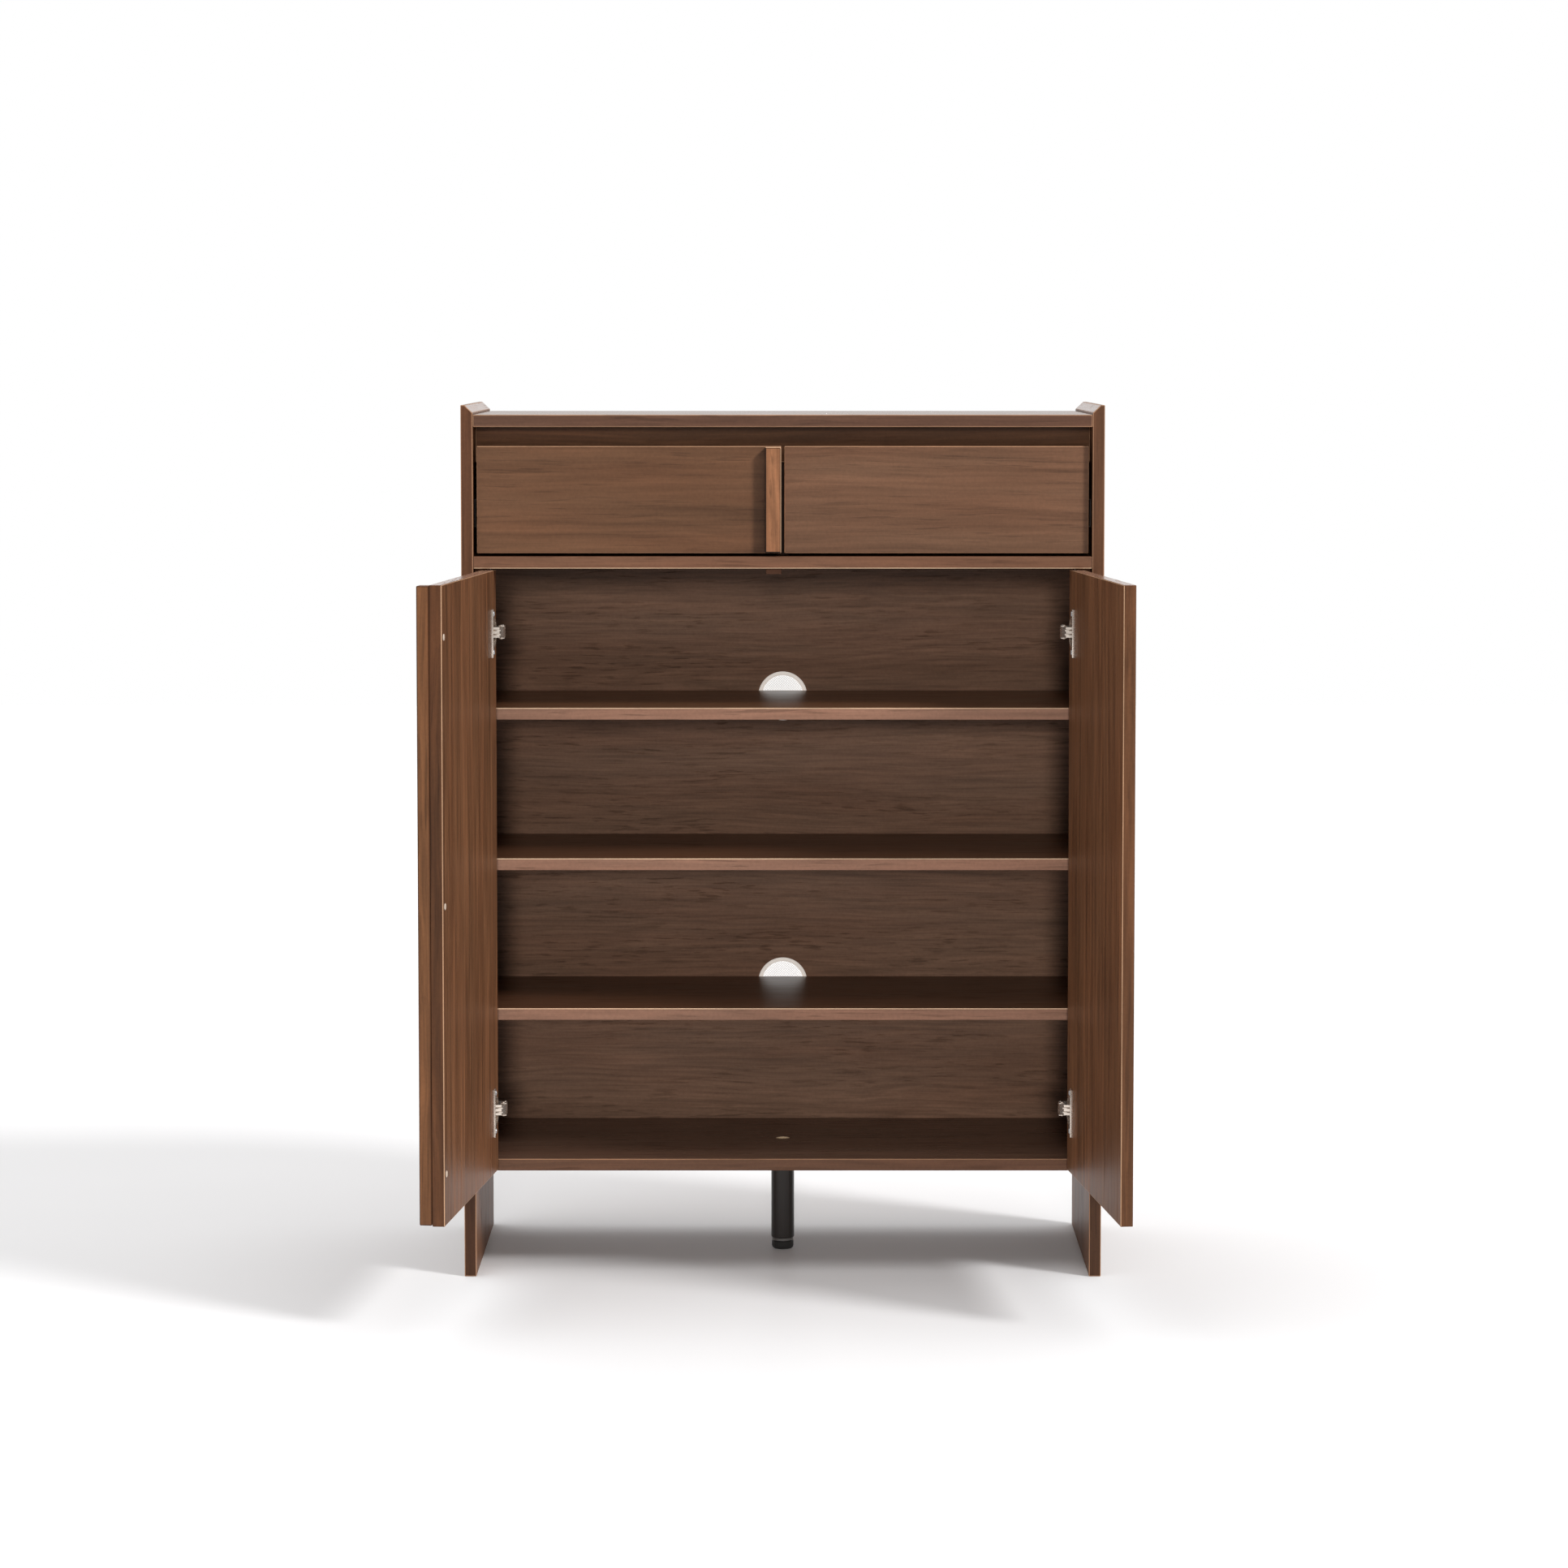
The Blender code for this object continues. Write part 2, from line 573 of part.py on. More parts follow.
def make_drawer(side, walnut, lining):
    """A drawer box behind an inset front, modelled closed on an empty that lies on its slide's axis."""
    sign = SIDES[side]
    bay = span(inward(side, 0), sign * BOARD / 2)
    pivot = empty(f"drawer_{side}_slide", (sum(bay) / 2, FRONT, BOX_BOTTOM + RUNNER_LIFT))
    front_x = span(inward(side, DRAWER_SIDE_GAP), sign * CENTRE_GAP / 2)
    front_y, front_z = (DRAWER_FACE, DRAWER_INNER), (DRAWER_BOTTOM, DRAWER_TOP)
    board(f"drawer_{side}_front", front_x, front_y, front_z, walnut, pivot)
    box = (bay[0] + RUNNER_SPACE, bay[1] - RUNNER_SPACE)
    y_span = (DRAWER_INNER + TOUCH, DRAWER_INNER + BOX_LENGTH)
    groove = (FLOOR_BOTTOM - GROOVE_SLACK / 2, FLOOR_BOTTOM + BOX_FLOOR + GROOVE_SLACK / 2)
    box_top = BOX_BOTTOM + BOX_HEIGHT
    for wall, outer, way in (("left", box[0], 1), ("right", box[1], -1)):
        inner = outer + way * BOX_WALL
        deep = inner - way * GROOVE_DEPTH
        outline = [
            (outer, BOX_BOTTOM),
            (inner, BOX_BOTTOM),
            (inner, groove[0]),
            (deep, groove[0]),
            (deep, groove[1]),
            (inner, groove[1]),
            (inner, box_top),
            (outer, box_top),
        ]
        prism(f"drawer_{side}_side_{wall}", outline, Y, y_span, lining, pivot)
    floor_inset = BOX_WALL - GROOVE_DEPTH + GROOVE_SLACK
    floor_x = (box[0] + floor_inset, box[1] - floor_inset)
    floor_z = (FLOOR_BOTTOM, FLOOR_BOTTOM + BOX_FLOOR)
    block(f"drawer_{side}_bottom", floor_x, y_span, floor_z, lining, pivot)
    back_x = (box[0] + BOX_WALL + TOUCH, box[1] - BOX_WALL - TOUCH)
    back_y = (y_span[1] - BOX_WALL, y_span[1])
    block(f"drawer_{side}_back", back_x, back_y, (floor_z[1] + TOUCH, box_top), lining, pivot)
    return pivot, bay


def runner_outlines(wall, way, height):
    """Cross-sections of a runner's cabinet member and drawer member, from the wall it is fixed to."""
    inner_web, outer_web = RUNNER_OUTER_DEPTH - RUNNER_SKIN, TOUCH + RUNNER_SKIN
    cabinet = [
        (TOUCH, RUNNER_OUTER_HALF),
        (RUNNER_OUTER_DEPTH, RUNNER_OUTER_HALF),
        (RUNNER_OUTER_DEPTH, RUNNER_OUTER_HALF - RUNNER_OUTER_LIP),
        (inner_web, RUNNER_OUTER_HALF - RUNNER_OUTER_LIP),
        (inner_web, RUNNER_OUTER_HALF - RUNNER_SKIN),
        (outer_web, RUNNER_OUTER_HALF - RUNNER_SKIN),
    ]
    far = RUNNER_SPACE - TOUCH
    drawer = [
        (far, RUNNER_INNER_HALF),
        (RUNNER_INNER_NEAR, RUNNER_INNER_HALF),
        (RUNNER_INNER_NEAR, RUNNER_INNER_HALF - RUNNER_SKIN),
        (far - RUNNER_SKIN, RUNNER_INNER_HALF - RUNNER_SKIN),
    ]
    outlines = []
    for upper in (cabinet, drawer):
        whole = upper + [(x, -z) for x, z in reversed(upper)]
        outlines.append([(wall + way * x, height + z) for x, z in whole])
    return outlines


def make_runners(side, bay, pivot, zinc):
    height = BOX_BOTTOM + RUNNER_LIFT
    y_span = (FRONT + RUNNER_SETBACK, FRONT + RUNNER_SETBACK + RUNNER_LENGTH)
    for wall, place, way in (("left", bay[0], 1), ("right", bay[1], -1)):
        cabinet, drawer = runner_outlines(place, way, height)
        prism(f"runner_outer_{side}_{wall}", cabinet, Y, y_span, zinc)
        prism(f"runner_inner_{side}_{wall}", drawer, Y, y_span, zinc, pivot)


def make_stop(brown):
    """A small block under the middle panel, which the left door's free edge closes against."""
    y_span = [DOOR_INNER + reach for reach in STOP_DEEP]
    z_span = (MIDDLE_HEIGHT - STOP_DROP, MIDDLE_HEIGHT - TOUCH)
    eased(block("door_stop", STOP_ACROSS, y_span, z_span, brown), ARRIS)


def build():
    for old in list(bpy.data.objects):
        bpy.data.objects.remove(old)
    walnut = material("walnut", (0.115, 0.052, 0.028), 0.42)
    oiled = material("walnut_handle", (0.190, 0.080, 0.036), 0.40)
    lining = material("drawer_lining", (0.200, 0.100, 0.055), 0.55)
    nickel = material("nickel", (0.70, 0.66, 0.60), 0.28, 1.0)
    zinc = material("zinc", (0.55, 0.56, 0.58), 0.38, 1.0)
    black = material("black_steel", (0.012, 0.012, 0.013), 0.45)
    rubber = material("black_plastic", (0.015, 0.015, 0.016), 0.60)
    cream = material("cream_plastic", (0.80, 0.72, 0.62), 0.50)
    brown = material("brown_plastic", (0.090, 0.045, 0.028), 0.55)

    make_sides(walnut)
    make_carcass(walnut)
    make_drawer_frame(walnut)
    make_leg(black, zinc, rubber)
    make_vents(cream)
    make_stop(brown)
    for side, sign in SIDES.items():
        drawer, bay = make_drawer(side, walnut, lining)
        make_runners(side, bay, drawer, zinc)
        door, pivot = make_door(side, (walnut, nickel))
        for level in HINGE_HEIGHTS:
            make_hinge_arm(side, level, nickel)
        if side == "left":
            make_door_handle(door, oiled, cream, pivot)
            span = (DRAWER_BOTTOM, DRAWER_TOP)
            make_handle("drawer_handle", span, DRAWER_FACE, DRAWER_HANDLE_DEPTH, oiled, drawer)
        pivot.rotation_euler.z = sign * OPEN_ANGLE


build()
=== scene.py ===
"""Looks of the shoe cabinet: walnut boards, nickel hinges, a black leg, woven vents and a pale studio."""

import json
import math

import bmesh
import bpy
from mathutils import Matrix, Vector


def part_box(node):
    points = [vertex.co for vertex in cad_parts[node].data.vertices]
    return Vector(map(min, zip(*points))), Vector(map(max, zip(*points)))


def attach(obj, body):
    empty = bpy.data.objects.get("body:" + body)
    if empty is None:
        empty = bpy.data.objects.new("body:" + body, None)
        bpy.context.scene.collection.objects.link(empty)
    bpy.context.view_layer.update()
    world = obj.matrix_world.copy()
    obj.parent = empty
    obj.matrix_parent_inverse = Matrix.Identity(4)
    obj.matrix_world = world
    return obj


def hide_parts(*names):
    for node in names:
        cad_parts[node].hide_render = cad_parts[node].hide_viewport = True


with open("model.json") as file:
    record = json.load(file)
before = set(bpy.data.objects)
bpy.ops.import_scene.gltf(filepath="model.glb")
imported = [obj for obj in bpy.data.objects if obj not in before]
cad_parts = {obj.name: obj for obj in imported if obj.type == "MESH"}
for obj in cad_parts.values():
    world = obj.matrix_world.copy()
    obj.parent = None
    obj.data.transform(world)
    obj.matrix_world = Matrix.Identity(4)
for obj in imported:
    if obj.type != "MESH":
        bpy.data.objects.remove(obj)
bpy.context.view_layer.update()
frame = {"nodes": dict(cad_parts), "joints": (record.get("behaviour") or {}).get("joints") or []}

SIDES = {"left": -1, "right": 1}
LEVELS = ("upper", "lower")


# ---------------------------------------------------------------- node materials

def srgb(red, green, blue):
    """An 8-bit screen colour as the linear colour a shader takes."""
    return tuple(((c / 255 + 0.055) / 1.055) ** 2.4 for c in (red, green, blue)) + (1.0,)


class Finish:
    """A material under construction: each call adds one node and gives back its output."""

    def __init__(self, name, **constants):
        self.material = bpy.data.materials.new(name)
        self.material.use_nodes = True
        self.tree = self.material.node_tree
        self.shader = self.tree.nodes["Principled BSDF"]
        for socket, value in constants.items():
            self.shader.inputs[socket.replace("_", " ")].default_value = value
        self.place = self.node("ShaderNodeTexCoord").outputs["Object"]

    def node(self, kind, inputs=None, **settings):
        made = self.tree.nodes.new(kind)
        for name, value in settings.items():
            setattr(made, name, value)
        for socket, value in (inputs or {}).items():
            if isinstance(value, bpy.types.NodeSocket):
                self.tree.links.new(value, made.inputs[socket])
            elif value is not None:
                made.inputs[socket].default_value = value
        return made

    def turned(self, turn, shift):
        mapping = self.node("ShaderNodeMapping", {"Vector": self.place, "Location": shift, "Rotation": turn})
        self.place = mapping.outputs["Vector"]

    def vector(self, operation, first, second):
        made = self.node("ShaderNodeVectorMath", {0: first, 1: second}, operation=operation)
        return made.outputs["Vector"]

    def math(self, operation, first, second=None):
        made = self.node("ShaderNodeMath", {0: first, 1: second}, operation=operation)
        return made.outputs[0]

    def noise(self, stretch, detail=2.0, roughness=0.5, distortion=0.0, output="Fac"):
        """Noise whose blobs are drawn out by unequal frequencies per metre along the three axes."""
        vector = self.vector("MULTIPLY", self.place, stretch)
        inputs = {"Vector": vector, "Scale": 1.0, "Detail": detail, "Roughness": roughness}
        inputs["Distortion"] = distortion
        return self.node("ShaderNodeTexNoise", inputs).outputs[output]

    def levels(self, value, low, high, new_low=0.0, new_high=1.0):
        inputs = {"Value": value, "From Min": low, "From Max": high, "To Min": new_low, "To Max": new_high}
        return self.node("ShaderNodeMapRange", inputs).outputs["Result"]

    def ramp(self, value, *stops):
        made = self.node("ShaderNodeValToRGB", {"Fac": value})
        elements = made.color_ramp.elements
        while len(elements) < len(stops):
            elements.new(0.5)
        for element, (place, colour) in zip(elements, stops):
            element.position = place
            element.color = colour
        return made.outputs["Color"]

    def mix(self, amount, first, second, blend="MIX"):
        made = self.node("ShaderNodeMix", data_type="RGBA", blend_type=blend)
        for socket, value in ((made.inputs[0], amount), (made.inputs[6], first), (made.inputs[7], second)):
            if isinstance(value, bpy.types.NodeSocket):
                self.tree.links.new(value, socket)
            else:
                socket.default_value = value
        return made.outputs[2]

    def feed(self, socket, value):
        self.tree.links.new(value, self.shader.inputs[socket])

    def bump(self, height, strength, distance):
        inputs = {"Height": height, "Strength": strength, "Distance": distance}
        self.feed("Normal", self.node("ShaderNodeBump", inputs).outputs["Normal"])


GRAIN_TURNS = {"x": (0, 0, 0), "y": (0, 0, math.pi / 2), "z": (0, math.pi / 2, 0)}
BOARD_SHIFT = (1.37, 0.71, 0.43)
GREYS = {level: (level, level, level, 1.0) for level in (0.0, 0.4, 0.7, 1.0)}

# How often each layer of the grain repeats, per metre along and across it.
BROAD_PITCH = (1.6, 14.0)
BAND_PITCH = (2.4, 60.0)
HUE_PITCH = (3.0, 26.0)
RING_PITCH = (0.8, 8.0)
RING_FADE_PITCH = (3.0, 18.0)
PORE_CLUSTER_PITCH = (3.0, 30.0)
SPECKLE_PITCH = (260.0, 260.0, 260.0)
WANDER_PITCH = (1.8, 6.0, 6.0)

WANDER_REACH = (0.0, 0.034, 0.034)
RINGS_IN_NOISE = 21.0
BROAD_SHARE = 0.26
WARM = (0.97, 1.025, 1.05, 1.0)
# Painted shade low on a board: the span about its height over which it fades out upwards, and the factor that
# darkens the colour beneath.
PAINTED_SHADE_FADE = (-0.02, 0.12)
PAINTED_SHADE_FACTOR = 0.50
GRAIN_DEPTH = 0.0006


def wood(name, grain, seed, tones, rings=0.16, bands=0.24, streak=0.2, pore=0.3, relief=0.25, gloss=0.42,
         streak_pitch=(6.0, 200.0), pore_pitch=(16.0, 300.0), sheen=0.2, painted_shade_below=None):
    """Open-grained timber. The grain runs along one axis, and the seed moves the board within the log.

    A pitch is how often a mark repeats, per metre along and across the grain. The height for painted shade is
    the one below which the colour is darkened, painted shade low on the board.
    """
    made = Finish(name, Specular_IOR_Level=sheen)
    height = made.node("ShaderNodeSeparateXYZ", {0: made.place}).outputs["Z"]
    made.turned(GRAIN_TURNS[grain], tuple(seed * shift for shift in BOARD_SHIFT))
    wander = made.noise(WANDER_PITCH, detail=3.0, output="Color")
    wander = made.vector("SUBTRACT", wander, (0.5, 0.5, 0.5))
    made.place = made.vector("ADD", made.place, made.vector("MULTIPLY", wander, WANDER_REACH))

    def grained(pitch, detail, roughness=0.5):
        along, across = pitch
        return made.noise((along, across, across), detail, roughness)

    broad = made.levels(grained(BROAD_PITCH, 2.0), 0.32, 0.68, -0.5, 0.5)
    band = made.levels(grained(BAND_PITCH, 4.0, 0.62), 0.35, 0.65, -0.5, 0.5)
    tone = made.math("ADD", made.math("MULTIPLY", broad, BROAD_SHARE), made.math("MULTIPLY", band, bands))
    dark, mid, light = tones
    colour = made.ramp(made.math("ADD", tone, 0.5), (0.12, dark), (0.5, mid), (0.88, light))
    hue = made.levels(grained(HUE_PITCH, 2.0), 0.36, 0.64)
    colour = made.mix(hue, colour, WARM, "MULTIPLY")
    growth = made.math("FRACT", made.math("MULTIPLY", grained(RING_PITCH, 0.8), RINGS_IN_NOISE))
    line = made.ramp(growth, (0.0, GREYS[1.0]), (0.10, GREYS[0.4]), (0.45, GREYS[0.0]), (0.95, GREYS[0.7]))
    fade = made.levels(grained(RING_FADE_PITCH, 1.0), 0.40, 0.62)
    ring = made.math("MULTIPLY", made.math("MULTIPLY", line, fade), rings)
    fibre = grained(streak_pitch, 3.0, 0.6)
    dash = made.levels(grained(pore_pitch, 1.5), 0.58, 0.68)
    cluster = made.levels(grained(PORE_CLUSTER_PITCH, 2.0), 0.38, 0.60, 0.15, 1.0)
    dash = made.math("MULTIPLY", dash, cluster)
    shade = made.math("SUBTRACT", 1.0, ring)
    shade = made.math("MULTIPLY", shade, made.levels(fibre, 0.32, 0.68, 1.0 - streak, 1.0 + streak))
    shade = made.math("MULTIPLY", shade, made.math("SUBTRACT", 1.0, made.math("MULTIPLY", dash, pore)))
    speckle = made.noise(SPECKLE_PITCH, detail=2.0, roughness=0.6)
    shade = made.math("MULTIPLY", shade, made.levels(speckle, 0.3, 0.7, 0.94, 1.06))
    # Painted shade: the colour darkens below the given height.
    if painted_shade_below:
        low, high = (painted_shade_below + reach for reach in PAINTED_SHADE_FADE)
        shade = made.math("MULTIPLY", shade, made.levels(height, low, high, PAINTED_SHADE_FACTOR, 1.0))
    shading = made.node("ShaderNodeCombineColor", {0: shade, 1: shade, 2: shade}).outputs[0]
    made.feed("Base Color", made.mix(1.0, colour, shading, "MULTIPLY"))
    made.feed("Roughness", made.levels(made.math("ADD", fibre, dash), 0.3, 1.4, gloss - 0.04, gloss + 0.16))
    made.bump(made.math("SUBTRACT", made.math("MULTIPLY", fibre, 0.5), dash), relief, GRAIN_DEPTH)
    return made.material


def metal(name, colour, roughness, brushed=(60.0, 60.0, 900.0), metallic=1.0):
    """Plated steel: faint drawing lines and a slightly uneven polish."""
    made = Finish(name, Metallic=metallic)
    lines = made.noise(brushed, detail=2.0)
    cloud = made.noise((70.0, 70.0, 70.0), detail=3.0)
    low = tuple(c * 0.86 for c in colour[:3]) + (1.0,)
    made.feed("Base Color", made.ramp(cloud, (0.35, low), (0.65, colour)))
    made.feed("Roughness", made.levels(lines, 0.3, 0.7, roughness - 0.06, roughness + 0.08))
    made.bump(lines, 0.05, 0.0001)
    return made.material


def plastic(name, colour, roughness, grain=900.0, relief=0.15, spread=0.12, **constants):
    """Moulded plastic or paint: a fine stipple and a faint cloud in the colour."""
    made = Finish(name, **constants)
    cloud = made.noise((24.0, 24.0, 24.0), detail=3.0)
    stipple = made.noise((grain, grain, grain), detail=2.0)
    low = tuple(c * (1 - spread) for c in colour[:3]) + (1.0,)
    made.feed("Base Color", made.ramp(cloud, (0.35, low), (0.65, colour)))
    made.feed("Roughness", made.levels(stipple, 0.3, 0.7, roughness - 0.05, roughness + 0.07))
    made.bump(stipple, relief, 0.0002)
    return made.material


# ---------------------------------------------------------------- finishes of the CAD nodes

def tones(red, green, blue, spread=0.38):
    """The dark, middle and light colours of a timber, from its middle colour on the screen."""
    middle = srgb(red, green, blue)[:3]
    dark = [part * (1 - spread * pull) for part, pull in zip(middle, (0.95, 1.03, 1.10))]
    light = [part * (1 + spread) for part in middle]
    return (*dark, 1.0), (*middle, 1.0), (*light, 1.0)


WALNUT = tones(101, 70, 50)
# Left and right copies differ: the left ones are darker, painted shade, and the right ones lighter, painted
# light, for the lamps on the right. They colour the side panels' front edges and outer faces, the doors'
# outer faces and free edges, and the drawer fronts.
SIDE_TONES = {"left": tones(85, 53, 35), "right": tones(90, 58, 39)}
DRAWER_TONES = {"left": tones(98, 67, 47), "right": tones(105, 74, 55)}
DOOR_EDGE_TONES = {"left": tones(79, 48, 28), "right": tones(90, 57, 35)}
WALNUT_DOOR = tones(114, 75, 50)
WALNUT_BACK = tones(113, 84, 67)
WALNUT_BAR = tones(106, 68, 42)
WALNUT_RAIL = tones(85, 56, 38)
WALNUT_DECK = tones(89, 57, 39)
# A lighter copy of the shelf colour: painted light on the top of the upper shelf.
WALNUT_DECK_UPPER_PAINTED_LIGHT = tones(104, 67, 43)
# Near black walnut: painted shade on the drawer partition and on the shaded side of the drawer bar.
WALNUT_PAINTED_SHADE = tones(36, 23, 16)
WALNUT_FLOOR = tones(102, 74, 60)
EDGE_SHELF = tones(134, 98, 80, 0.16)
EDGE_MIDDLE = tones(108, 74, 55, 0.2)
EDGE_TOP = tones(90, 62, 48, 0.2)
EDGE_BOTTOM = tones(91, 62, 46, 0.2)
# Light colours of the eased arrises: painted highlights along the edges.
ARRIS_HIGHLIGHT = tones(154, 115, 88, 0.2)
ARRIS_SHELF_HIGHLIGHT = tones(212, 178, 146, 0.15)
ARRIS_DOOR_HIGHLIGHT = tones(176, 138, 108, 0.2)
RAW = tones(198, 170, 138, 0.2)
HONEY = tones(133, 88, 60, 0.4)
LINING = tones(170, 144, 118, 0.15)

# Height below which the side panels' front edges carry painted shade.
PAINTED_SHADE_HEIGHT = 0.26

# An arris is a narrow face that looks along no axis, and LIT is how squarely it must look the lit way to take
# the painted highlight.
LIT = 0.3
SQUARE = 0.985
FACE_AREA = 6e-4
COUNTERBORE_RADIUS = 0.0105


def put(node, finishes, pick):
    """Gives a CAD node its finishes, and each of its faces the one that pick(normal, middle, area) names."""
    piece = frame["nodes"][node]
    piece.data.materials.clear()
    for finish in finishes:
        piece.data.materials.append(finish)
    for polygon in piece.data.polygons:
        polygon.material_index = pick(polygon.normal, polygon.center, polygon.area)


def paint(node, finish):
    put(node, [finish], lambda normal, middle, area: 0)


def paint_board(node, face, arris, edge=None, edge_way=(0, -1, 0), turn=0.0, patch=None, in_patch=None,
                lit=None, inner=None, inner_way=(0, 1, 0)):
    """A board's faces, its eased arrises, and if asked the edge band that looks one way and one more patch.

    With a lit way, only the arrises that look that way get the arris finish, there a painted highlight, and
    the others stay like the edge. Inner is the finish of the face that looks into the cabinet, where it
    differs from the others.
    """
    squared = Matrix.Rotation(-turn, 3, "Z")

    def pick(normal, middle, area):
        if patch and in_patch(normal, middle, area):
            return 3
        straight = squared @ normal
        if max(abs(part) for part in straight) < SQUARE and area < FACE_AREA:
            return 1 if lit is None or straight.dot(Vector(lit)) > LIT else 2
        if inner and straight.dot(Vector(inner_way)) > LIT:
            return 4
        return 2 if straight.dot(Vector(edge_way)) > SQUARE else 0

    put(node, [face, arris, edge or face, patch or face, inner or face], pick)


joints = {joint["name"]: joint for joint in frame["joints"]}


def door_turn(side):
    """The angle, about +Z, from a door's closed place to its open rest."""
    joint = joints[f"door_{side}_swing"]
    return -math.radians(joint["range_deg"][1]) * joint["axis"][2]


def plain(name, grain, seed, colours, **options):
    """A narrow strip of timber, too thin to show growth rings."""
    quiet = {"rings": 0.06, "bands": 0.3, "streak": 0.14, "pore": 0.25, "relief": 0.1, **options}
    return wood(name, grain, seed, colours, **quiet)


def looks_up(normal, middle, area):
    return normal.z > 0.6


def in_counterbore(normal, middle, area):
    return Vector(middle[:2]).length < COUNTERBORE_RADIUS and abs(normal.z) < 0.5


def on_crest(normal, middle, area):
    return area > FACE_AREA and 0.5 < normal.z < 0.9


def paint_boards():
    # Arris finishes in light colours: painted highlights along the eased edges.
    arris_highlight_x = plain("walnut_arris_highlight_x", "x", 3, ARRIS_HIGHLIGHT)
    arris_highlight_z = plain("walnut_arris_highlight_z", "z", 4, ARRIS_HIGHLIGHT)
    arris_highlight_shelf = plain("walnut_arris_highlight_shelf", "x", 3, ARRIS_SHELF_HIGHLIGHT)
    arris_highlight_door = plain("walnut_arris_highlight_door", "z", 4, ARRIS_DOOR_HIGHLIGHT)
    edge_shelf = wood("walnut_edge_shelf", "x", 5, EDGE_SHELF, rings=0.05, bands=0.3, streak=0.12, pore=0.3)
    edge_middle = plain("walnut_edge_middle", "x", 6, EDGE_MIDDLE)
    edge_top = plain("walnut_edge_top", "x", 7, EDGE_TOP)
    edge_bottom = plain("walnut_edge_bottom", "x", 8, EDGE_BOTTOM)
    polished = {"gloss": 0.34, "relief": 0.08, "pore": 0.2}
    deck = wood("walnut_deck", "x", 7, WALNUT_DECK, **polished)
    # The upper shelf's top is a lighter copy of the deck: painted light.
    deck_upper = wood("walnut_deck_upper_painted_light", "x", 7, WALNUT_DECK_UPPER_PAINTED_LIGHT, sheen=0.6, **polished)
    floor = wood("walnut_floor", "x", 9, WALNUT_FLOOR, gloss=0.30, relief=0.1, pore=0.2)
    top = wood("walnut_top", "x", 8, WALNUT, gloss=0.26, relief=0.03, sheen=0.5)
    # The side panels' crest chamfers and the doors' top edges take a lighter colour: painted sheen, on top of
    # their real low roughness and strong specular.
    crest = wood("walnut_crest_painted_sheen", "y", 8, EDGE_SHELF, gloss=0.22, relief=0.03, sheen=0.5)
    for level, face in (("upper", deck_upper), ("middle", deck), ("lower", deck)):
        paint_board(f"shelf_{level}", face, arris_highlight_shelf, edge_shelf, lit=(0, 0, 1))
    paint_board("middle_panel", deck, arris_highlight_shelf, edge_middle, lit=(0, 0, -1))
    paint_board("top_panel", top, arris_highlight_x, edge_top)
    raw = plain("walnut_raw", "x", 9, RAW)
    paint_board("bottom_panel", floor, arris_highlight_x, edge_bottom, patch=raw, in_patch=in_counterbore,
                lit=(0, 0, 1))
    back = wood(
        "walnut_back", "x", 10, WALNUT_BACK, rings=0.18, bands=0.06, streak=0.2, pore=0.32, relief=0.5,
        gloss=0.46, streak_pitch=(9.0, 260.0), pore_pitch=(30.0, 300.0),
    )
    paint_board("back_panel", back, back)
    paint_board("drawer_rail", wood("walnut_rail", "x", 11, WALNUT_RAIL), arris_highlight_x)
    # The partition is coloured near black: painted shade between the drawers.
    partition = wood("walnut_partition_painted_shade", "z", 12, WALNUT_PAINTED_SHADE)
    paint_board("drawer_partition", partition, partition)
    outside = {"rings": 0.26, "streak": 0.17, "pore": 0.22, "streak_pitch": (4.0, 150.0)}
    for side, sign in SIDES.items():
        seed = 13 + (sign > 0)
        side_tones, edge_tones = SIDE_TONES[side], DOOR_EDGE_TONES[side]
        panel = wood(f"walnut_side_{side}", "z", seed, DRAWER_TONES[side], bands=0.14, **outside)
        inside = wood(f"walnut_side_inside_{side}", "z", seed, WALNUT_DOOR, streak=0.18, sheen=0.03,
                      gloss=0.36)
        # The front edges carry painted shade, darker towards the floor.
        front = wood(f"walnut_side_front_{side}", "z", seed, side_tones, rings=0.05, bands=0.12, painted_shade_below=PAINTED_SHADE_HEIGHT)
        paint_board(f"side_panel_{side}", panel, arris_highlight_z, front, patch=crest, in_patch=on_crest, inner=inside,
                    inner_way=(-sign, 0, 0))
        door_edge = wood(f"walnut_door_edge_{side}", "z", 18, edge_tones, streak=0.26)
        lining = wood(
            f"walnut_door_inside_{side}", "z", seed + 2, WALNUT_DOOR, bands=0.3, streak=0.40, pore=0.3,
            streak_pitch=(4.0, 120.0), pore_pitch=(6.0, 200.0),
        )
        door = wood(f"walnut_door_{side}", "z", seed + 2, DRAWER_TONES[side], bands=0.12, **outside)
        # Arrises that look towards the door's inner face take the painted highlight and the others the door
        # edge colour. The top edges take the painted sheen.
        paint_board(f"door_{side}", door, arris_highlight_door, door_edge, (-sign, 0, 0), door_turn(side), crest,
                    looks_up, lit=(0, 1, 0), inner=lining)
        front = wood(
            f"walnut_drawer_{side}", "x", seed + 4, DRAWER_TONES[side], rings=0.24, bands=0.12, streak=0.15,
            pore=0.22, streak_pitch=(5.0, 150.0),
        )
        paint_board(f"drawer_{side}_front", front, arris_highlight_x)
    door_bar = wood("walnut_door_handle", "z", 20, WALNUT_BAR, streak=0.3)
    # The bar's arrises take the dark door edge colour: painted shade.
    bar_arris_shade = plain("walnut_door_handle_arris_painted_shade", "z", 20, DOOR_EDGE_TONES["left"])
    paint_board("door_handle", door_bar, bar_arris_shade, turn=door_turn("left"))
    honey = wood("walnut_drawer_handle", "z", 21, HONEY, rings=0.3, streak=0.3, pore=0.5,
                 pore_pitch=(30.0, 240.0))
